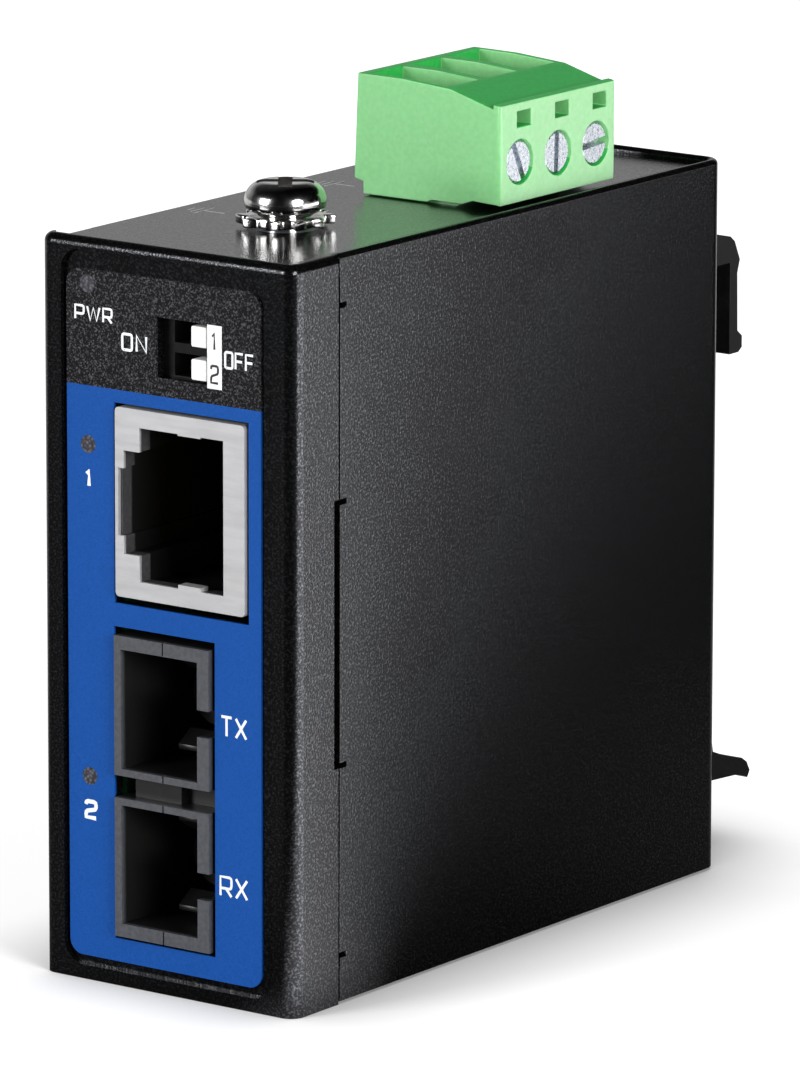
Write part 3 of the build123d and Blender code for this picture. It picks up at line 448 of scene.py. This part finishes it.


# Painted shade: the port moulding turns dark grey just behind its front edge
paint_socket_shade(port_moulding, front=-28.5 * mm, back=-28.0 * mm, grey=0.005)
insert_moulding = grained("insert_moulding", (0.03, 0.03, 0.032), (0.045, 0.045, 0.048), (0.4, 0.5), 3000,
                          (0.15, 0.00002))
# Painted shade: the socket insert turns dark grey just behind its front edge
paint_socket_shade(insert_moulding, front=-27.1 * mm, back=-26.9 * mm, grey=0.002)


def terminal_green(name, dark, light):
    """A slightly clear green moulding."""
    material = grained(name, dark, light, (0.34, 0.44), 2600, (0.1, 0.00002))
    shader = material.node_tree.nodes["Principled BSDF"]
    shader.inputs["Subsurface Weight"].default_value = 0.3
    shader.inputs["Subsurface Radius"].default_value = (0.0005, 0.002, 0.0008)
    shader.inputs["Subsurface Scale"].default_value = 1.0
    return material


green_moulding = terminal_green("terminal_green", (0.2, 0.52, 0.21), (0.22, 0.56, 0.23))
# Copies of the plug's green as painted light: a deeper one for painted shade, a paler one for a painted sheen
shaded_green_moulding = terminal_green("terminal_green_painted_shade", (0.02, 0.36, 0.06), (0.03, 0.42, 0.08))
sheen_green_moulding = terminal_green("terminal_green_painted_sheen", (0.3, 0.6, 0.3), (0.34, 0.64, 0.34))

# %% Dress the plastic pieces
dress(black_moulding, "lan_transformer", "converter_chip", "power_inductor")
dress(insert_moulding, "rj45_insert")
dress(port_moulding, "sc_receptacle", "transceiver_body")
dress(clip_moulding, "din_clip", "dip_switch_body")
dress(white_moulding, *numbered("dip_slider", 2))
dress(ground_ceramic, "ferrule_sleeve_tx", "ferrule_sleeve_rx")
dress(lamp_resin, "led_power", "led_copper", "led_fibre")
dress(board_mask, "main_board")
dress(green_moulding, "plug_body", "terminal_header")
print("finishes:", sorted({piece.data.materials[0].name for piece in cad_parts.values()}))

# %% [markdown]
# ## Softened edges
# Bent steel and moulded plastic never end in a knife edge. A copy of the CAD piece is merged, its flat
# faces are joined, and a Bevel modifier rounds every edge by a tenth of a millimetre or so. The copy
# then stands for the CAD piece, and the solid itself stays simple. In the photograph the upper rim of
# the side sheet is soft and black. There the sheet's narrow end faces hold the modifier back, so the
# edges above a given height are first bevelled in edit mode by 0.4 mm.

# %% Round a CAD piece
def select_only(piece):
    """Select one piece and make it the active one."""
    bpy.ops.object.select_all(action="DESELECT")
    piece.select_set(True)
    bpy.context.view_layer.objects.active = piece


def bevel_rim(piece, height):
    """Round the edges of the mesh in edit mode that lie above a height."""
    bpy.ops.mesh.select_mode(type="EDGE")
    bpy.ops.mesh.select_all(action="DESELECT")
    bpy.ops.object.mode_set(mode="OBJECT")
    heights = [vertex.co.z for vertex in piece.data.vertices]
    for edge in piece.data.edges:
        edge.select = min(heights[i] for i in edge.vertices) > height
    bpy.ops.object.mode_set(mode="EDIT")
    bpy.ops.mesh.bevel(offset=0.4 * mm, segments=4, affect="EDGES", clamp_overlap=True)


def soften(node, body, width, segments=2, rim=None, sharp_angle=math.radians(30)):
    """A merged copy of a CAD piece with rounded edges, which replaces it.

    The copy drops the CAD piece's frame keys and its parent, because it gets its own below.
    """
    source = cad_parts[node]
    piece = source.copy()
    piece.data = source.data.copy()
    piece.parent = None
    for key in list(piece.keys()):
        if key.startswith("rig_"):
            del piece[key]
    piece.name = node + "_rounded"
    scene.collection.objects.link(piece)
    select_only(piece)
    bpy.ops.object.mode_set(mode="EDIT")
    bpy.ops.mesh.select_all(action="SELECT")
    bpy.ops.mesh.remove_doubles(threshold=0.000002)
    bpy.ops.mesh.dissolve_limited(angle_limit=math.radians(1.0))
    if rim is not None:
        bevel_rim(piece, rim)
    bpy.ops.object.mode_set(mode="OBJECT")
    bevel = piece.modifiers.new("edge_round", "BEVEL")
    bevel.width = width
    bevel.segments = segments
    bevel.limit_method = "ANGLE"
    bevel.angle_limit = sharp_angle
    bevel.harden_normals = True
    bpy.ops.object.modifier_apply(modifier="edge_round")
    bpy.ops.object.shade_smooth()
    weigh = piece.modifiers.new("flat_faces_first", "WEIGHTED_NORMAL")
    weigh.keep_sharp = True
    bpy.ops.object.modifier_apply(modifier="flat_faces_first")
    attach(piece, body)
    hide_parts(node)
    print(node, "rounded by", width / mm, "mm:", len(piece.data.polygons), "faces")
    return piece


# %% Round the plug and give its faces their greens, with painted shade on top and a painted sheen on the right
plug_rounded = soften("plug_body", "plug", 0.12 * mm)
plug_rounded.data.materials.append(shaded_green_moulding)
plug_rounded.data.materials.append(sheen_green_moulding)
# The wire entries lie above this height and to the left of the face with the screws
screw_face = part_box("plug_body")[1].x - 0.9 * mm
entry_bottom = 60 * mm
PAINTED_SHADE, PAINTED_SHEEN = 1, 2
# Top faces and entry walls get the painted shade green, the right face gets the painted sheen green
for face in plug_rounded.data.polygons:
    in_entry = face.center.x < screw_face and face.center.z > entry_bottom and abs(face.normal.y) < 0.9
    if face.normal.z > 0.4 or (in_entry and face.normal.x > 0.3):
        face.material_index = PAINTED_SHADE
    elif face.normal.x > 0.7:
        face.material_index = PAINTED_SHEEN
indices = [face.material_index for face in plug_rounded.data.polygons]
print("deep green faces:", indices.count(PAINTED_SHADE), "pale green faces:", indices.count(PAINTED_SHEEN))

# %% Round the shield, the fibre sockets, the clip and the side sheet
soften("rj45_shield", "case", 0.06 * mm)
soften("sc_receptacle", "case", 0.1 * mm)
soften("din_clip", "case", 0.25 * mm, segments=3)
side_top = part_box("side_cover")[1].z
soften("side_cover", "case", 0.15 * mm, rim=side_top - 0.01 * mm)

# %% [markdown]
# ## Toothed washer
# The ground screw bites through the coat with a washer whose teeth are twisted. The outline of a small
# rectangle is spun into a ring, some faces of its rim are extruded outwards, and each tooth's end is
# then turned about the line that points away from the screw.

# %% Model the toothed washer
def finish_piece(piece, name, body, material, smooth=20):
    """Name a modelled piece, put its place in its mesh and let it ride on its body."""
    select_only(piece)
    bpy.ops.object.transform_apply(location=True, rotation=True, scale=True)
    piece.name = name
    piece.data.name = name
    piece.data.materials.clear()
    piece.data.materials.append(material)
    bpy.ops.object.shade_smooth_by_angle(angle=math.radians(smooth))
    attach(piece, body)
    return piece


def pick_faces(piece, wanted):
    """Select the faces that a test on centre and normal wants, and go back to edit mode."""
    bpy.ops.object.mode_set(mode="EDIT")
    bpy.ops.mesh.select_mode(type="FACE")
    bpy.ops.mesh.select_all(action="DESELECT")
    bpy.ops.object.mode_set(mode="OBJECT")
    for face in piece.data.polygons:
        face.select = bool(wanted(face.center, face.normal))
    bpy.ops.object.mode_set(mode="EDIT")


def washer_ring(inner, outer, bottom, top, steps):
    """A flat ring of rectangular section, spun about the upright axis."""
    bpy.ops.mesh.primitive_plane_add(size=1, location=(0, 0, 0), rotation=(math.pi / 2, 0, 0))
    ring = bpy.context.object
    bpy.ops.object.transform_apply(rotation=True)
    bpy.ops.transform.resize(value=(outer - inner, 1, top - bottom))
    ring.location = ((inner + outer) / 2, 0, (bottom + top) / 2)
    bpy.ops.object.transform_apply(location=True, scale=True)
    bpy.ops.object.mode_set(mode="EDIT")
    bpy.ops.mesh.select_all(action="SELECT")
    bpy.ops.mesh.delete(type="ONLY_FACE")
    bpy.ops.mesh.select_all(action="SELECT")
    bpy.ops.mesh.spin(steps=steps, angle=2 * math.pi, center=(0, 0, 0), axis=(0, 0, 1))
    bpy.ops.mesh.select_all(action="SELECT")
    bpy.ops.mesh.remove_doubles(threshold=0.000005)
    bpy.ops.mesh.select_all(action="SELECT")
    bpy.ops.mesh.normals_make_consistent(inside=False)
    bpy.ops.object.mode_set(mode="OBJECT")
    return ring


# %% Draw out and twist the teeth
def tooth_axes(out):
    """Axes whose third one points out along the tooth."""
    up = Vector((0, 0, 1))
    side = up.cross(out)
    return (tuple(side), tuple(up), tuple(out))


def add_tooth(ring, out, rim_radius, half_angle, middle_z, twist):
    """Extrude the rim faces near a direction in two steps, and twist the end."""
    def on_rim(centre, normal):
        flat = centre.to_2d()
        at_rim = rim_radius - 0.1 * mm < flat.length < rim_radius + 0.2 * mm
        return at_rim and abs(normal.z) < 0.5 and flat.normalized().dot(out.to_2d()) > math.cos(half_angle)

    pick_faces(ring, on_rim)
    for length in (0.15 * mm, 0.45 * mm):
        bpy.ops.mesh.extrude_region_move(TRANSFORM_OT_translate={"value": out * length})
    tip_middle = out * (rim_radius + 0.6 * mm) + Vector((0, 0, middle_z))
    bpy.ops.transform.rotate(value=-twist, orient_axis="Z", orient_type="GLOBAL",
                             orient_matrix=tooth_axes(out), orient_matrix_type="GLOBAL",
                             center_override=tip_middle)


def toothed_washer(teeth=10, steps=50, twist=math.radians(28)):
    """A ring round the ground screw, with teeth that are three of its steps wide."""
    low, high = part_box("ground_washer")
    centre = (low + high) / 2
    bottom, top = 0.3 * mm, 1.02 * mm
    hole_radius, rim_radius = 2.1 * mm, 3.0 * mm
    tooth_half_angle = 3.2 * math.pi / steps
    ring = washer_ring(hole_radius, rim_radius, bottom, top, steps)
    for tooth in range(teeth):
        turn = 2 * math.pi * tooth / teeth + math.pi / steps
        out = Vector((math.cos(turn), math.sin(turn), 0))
        add_tooth(ring, out, rim_radius, tooth_half_angle, (bottom + top) / 2, twist)
    bpy.ops.object.mode_set(mode="OBJECT")
    bevel = ring.modifiers.new("worn_edges", "BEVEL")
    bevel.width = 0.12 * mm
    bevel.segments = 3
    select_only(ring)
    bpy.ops.object.modifier_apply(modifier="worn_edges")
    ring.location = (centre.x, centre.y, low.z)
    finish_piece(ring, "toothed_washer", "ground_lifter", polished_steel, smooth=35)
    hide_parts("ground_washer")
    return ring


washer = toothed_washer()
print("washer teeth end at", round(max(v.co.z for v in washer.data.vertices) / mm, 2), "mm")

# %% [markdown]
# ## Lettering
# The overlay carries plain white words for the lamps, the switch and the two fibre sockets. The letters
# are square ones of an even stroke, which the built-in font hasn't got, so each is drawn as one or two
# bent lines in a box of unit size. A curve follows the lines, gets its stroke from its bevel, and becomes
# a mesh that is squashed flat.

# %% Print the words
white_ink = grained("white_ink", (0.72, 0.74, 0.77), (0.78, 0.8, 0.83), (0.4, 0.5), 3000, (0.05, 0.00001))
black_ink = grained("black_ink", (0.01, 0.01, 0.01), (0.02, 0.02, 0.02), (0.4, 0.5), 3000, (0.05, 0.00001))
film_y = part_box("front_label")[0].y
ink_height = 0.012 * mm
BOWL = ((0, 0), (0, 1), (0.82, 1), (0.97, 0.95), (1, 0.84), (1, 0.58), (0.96, 0.46), (0.82, 0.4), (0, 0.4))
RING = ((0.16, 0), (0.84, 0), (0.97, 0.05), (1, 0.16), (1, 0.84), (0.97, 0.95), (0.84, 1), (0.16, 1),
        (0.03, 0.95), (0, 0.84), (0, 0.16), (0.03, 0.05), (0.16, 0), (0.3, 0))
LETTERS = {
    "P": (BOWL,),
    "R": (BOWL, ((0.5, 0.4), (1, 0))),
    "O": (RING,),
    "N": (((0, 0), (0, 1), (1, 0), (1, 1)),),
    "W": (((0, 1), (0.24, 0), (0.5, 0.95), (0.76, 0), (1, 1)),),
    "F": (((0, 0), (0, 1), (1, 1)), ((0, 0.5), (0.9, 0.5))),
    "T": (((0, 1), (1, 1)), ((0.5, 1), (0.5, 0))),
    "X": (((0, 0), (1, 1)), ((0, 1), (1, 0))),
    "1": (((0.2, 0.78), (0.62, 1), (0.62, 0)),),
    "2": (((0, 0.8), (0.04, 0.95), (0.2, 1), (0.8, 1), (0.96, 0.95), (1, 0.82), (1, 0.66), (0.9, 0.54),
           (0.14, 0.4), (0.02, 0.3), (0, 0.18), (0, 0), (1, 0)),),
}
WIDTHS = {"W": 1.45, "1": 0.75}


def print_word(name, word, x_range, z_range, ink=white_ink, y=film_y, stroke=0.22, gap=0.42):
    """Draw a word into a box on the front, given by its left, right, bottom and top in millimetres."""
    wide = [WIDTHS.get(letter, 1.0) for letter in word]
    unit = (x_range[1] - x_range[0] - stroke) / (sum(wide) + gap * (len(word) - 1))
    tall = z_range[1] - z_range[0] - stroke
    curve = bpy.data.curves.new(name, "CURVE")
    curve.dimensions = "3D"
    curve.bevel_depth = stroke / 2 * mm
    curve.bevel_resolution = 2
    curve.use_fill_caps = True
    left = x_range[0] + stroke / 2
    for letter, width in zip(word, wide):
        for points in LETTERS[letter]:
            line = curve.splines.new("POLY")
            line.points.add(len(points) - 1)
            for point, (across, up) in zip(line.points, points):
                x = left + across * width * unit
                z = z_range[0] + stroke / 2 + up * tall
                point.co = (x * mm, 0, z * mm, 1)
        left += (width + gap) * unit
    drawn = bpy.data.objects.new(name, curve)
    scene.collection.objects.link(drawn)
    select_only(drawn)
    bpy.ops.object.convert(target="MESH")
    piece = bpy.context.object
    # The round stroke becomes flat ink, with its back on the film
    deepest = max(abs(vertex.co.y) for vertex in piece.data.vertices)
    for vertex in piece.data.vertices:
        vertex.co.y = y - ink_height / 2 * (1 - vertex.co.y / deepest)
    return finish_piece(piece, name, "case", ink)


print_word("word_power", "PWR", (-8.9, -5.2), (51.5, 52.75), stroke=0.2)
print_word("word_on", "ON", (-4.4, -1.9), (49.62, 51.05), gap=0.5)
print_word("word_off", "OFF", (5.37, 8.19), (49.4, 50.8), stroke=0.2)
print_word("lamp_number_1", "1", (-8.05, -7.2), (38.6, 40.1), stroke=0.34)
print_word("lamp_number_2", "2", (-8.2, -6.9), (12.6, 14.2), stroke=0.34)
print_word("word_send", "TX", (4.92, 7.48), (21.0, 22.7))
print_word("word_receive", "RX", (4.79, 7.54), (8.5, 10.2))

# %% [markdown]
# ## Switch strip and lamp windows
# The switch's numbers are black on a small white field, so a thin box of white ink lies under them. The
# lamps shine through three smoked windows in the film. Each is a thin disc in front of its lamp, and a
# pattern of cells gives it the dots that the photograph shows.

# %% Print the switch strip
def flat_ink(name, place, size, ink):
    """A thin box of ink with its middle at a place."""
    bpy.ops.mesh.primitive_cube_add(size=1, location=place)
    patch = bpy.context.object
    patch.scale = size
    return finish_piece(patch, name, "case", ink)


strip_x, strip_z = (3.78, 5.15), (47.73, 52.6)
flat_ink("switch_number_strip", (sum(strip_x) / 2 * mm, film_y - ink_height / 2, sum(strip_z) / 2 * mm),
         ((strip_x[1] - strip_x[0]) * mm, ink_height, (strip_z[1] - strip_z[0]) * mm), white_ink)
strip_y = film_y - ink_height
print_word("switch_number_1", "1", (4.1, 4.72), (50.65, 52.1), ink=black_ink, y=strip_y, stroke=0.2)
print_word("switch_number_2", "2", (4.05, 4.9), (48.1, 49.6), ink=black_ink, y=strip_y, stroke=0.2)
print("numbers stand", round((film_y - strip_y) / mm, 3), "mm before the film")

# %% Fit the lamp windows
def lamp_window_finish():
    """Smoked window with a faint pattern of dots round its middle."""
    material, tree, shader = new_material("smoked_window")
    cells = tree.nodes.new("ShaderNodeTexVoronoi")
    cells.inputs["Scale"].default_value = 3600
    link(tree, position(tree), cells.inputs["Vector"])
    dots = colour_ramp(tree, cells.outputs["Distance"], (0.11, 0.11, 0.12), (0.02, 0.02, 0.03),
                       low=0.1, high=0.6)
    link(tree, dots, shader.inputs["Base Color"])
    shader.inputs["Roughness"].default_value = 0.35
    return material


smoked_window = lamp_window_finish()
window_radius = 0.7 * mm
for lamp in ("led_power", "led_copper", "led_fibre"):
    low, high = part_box(lamp)
    centre = (low + high) / 2
    bpy.ops.mesh.primitive_cylinder_add(vertices=32, radius=window_radius, depth=ink_height,
                                        location=(centre.x, film_y - ink_height / 2, centre.z),
                                        rotation=(math.pi / 2, 0, 0))
    window = bpy.context.object
    bpy.ops.object.mode_set(mode="EDIT")
    bpy.ops.mesh.select_all(action="SELECT")
    bpy.ops.mesh.bevel(offset=ink_height * 0.3, segments=1, affect="EDGES")
    bpy.ops.object.mode_set(mode="OBJECT")
    finish_piece(window, lamp + "_window", "case", smoked_window)

# %% [markdown]
# ## Ground symbols
# An earth sign stands beside the screw and one beside the terminal. Each is a stem and three bars of
# falling length, printed on the coat. The bars are joined, so that a sign is one piece.

# %% Print the ground symbols
plate_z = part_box("chassis")[1].z
grey_ink = grained("grey_ink", (0.5, 0.5, 0.51), (0.62, 0.62, 0.63), (0.3, 0.4), 3000, (0.1, 0.00002))


def flat_bar(name, x_range, y_range):
    """A thin box of ink on the top plate, between the given places in millimetres."""
    place = (sum(x_range) / 2 * mm, sum(y_range) / 2 * mm, plate_z + ink_height / 2)
    bpy.ops.mesh.primitive_cube_add(size=1, location=place)
    bar = bpy.context.object
    bar.scale = ((x_range[1] - x_range[0]) * mm, (y_range[1] - y_range[0]) * mm, ink_height)
    return bar


def ground_symbol(name, x, y, half_line=0.08, first=1.0, spacing=0.6, end=3.0):
    """A stem along X, and three bars across its left end that get shorter to the left."""
    bars = [flat_bar("stem", (x + first, x + end), (y - half_line, y + half_line))]
    for step, half in enumerate((1.3, 0.85, 0.4)):
        bar_x = x + first - spacing * step
        bars.append(flat_bar("bar", (bar_x - half_line, bar_x + half_line), (y - half, y + half)))
    bpy.ops.object.select_all(action="DESELECT")
    for bar in bars:
        bar.select_set(True)
    bpy.context.view_layer.objects.active = bars[0]
    bpy.ops.object.join()
    return finish_piece(bpy.context.object, name, "case", grey_ink)


ground_symbol("ground_symbol_screw", -9.75, -12.2)
ground_symbol("ground_symbol_terminal", -8.6, 3.1)
